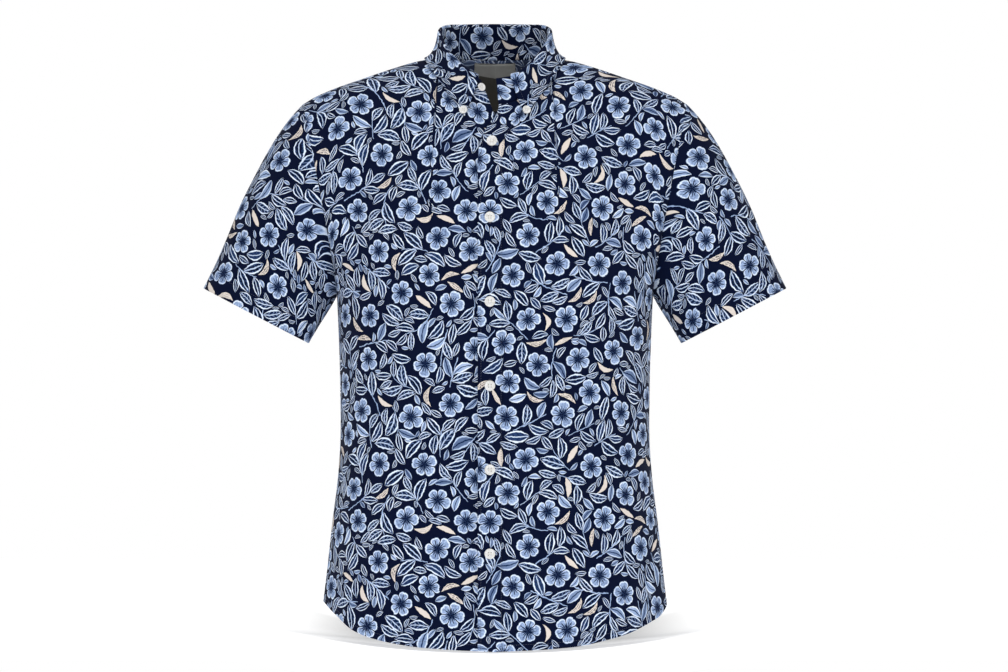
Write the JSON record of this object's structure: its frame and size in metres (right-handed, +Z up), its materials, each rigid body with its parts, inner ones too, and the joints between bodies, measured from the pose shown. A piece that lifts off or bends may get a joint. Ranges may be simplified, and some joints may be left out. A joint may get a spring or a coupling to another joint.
{
  "type": "hawaiian shirt",
  "caption": "Short-sleeved shirt with a button-down collar, button front and curved hem, filled out as when worn, in an all-over tropical flower and leaf print.",
  "frame": {"origin": "mount wearer: the middle of the neck, level with the inner ends of the shoulder seams, where the wearer's neck and shoulders hold the shirt", "axes": "+X towards the wearer's left, -Y forward, +Z up"},
  "size_m": [0.722, 0.2602, 0.7769],
  "materials": {
    "cloth": "matte",
    "label": "matte",
    "button": "satin"
  },
  "bodies": {
    "root": {"back": "cloth", "front_right": "cloth", "front_left": "cloth", "placket": "cloth", "sleeve_right": "cloth", "sleeve_left": "cloth", "collar_stand": "cloth", "collar_fall": "cloth", "neck_label": "label", "button_1": "button", "button_2": "button", "button_3": "button", "button_4": "button", "button_5": "button", "button_6": "button", "button_neck": "button", "button_collar_right": "button", "button_collar_left": "button"}
  },
  "joints": []
}
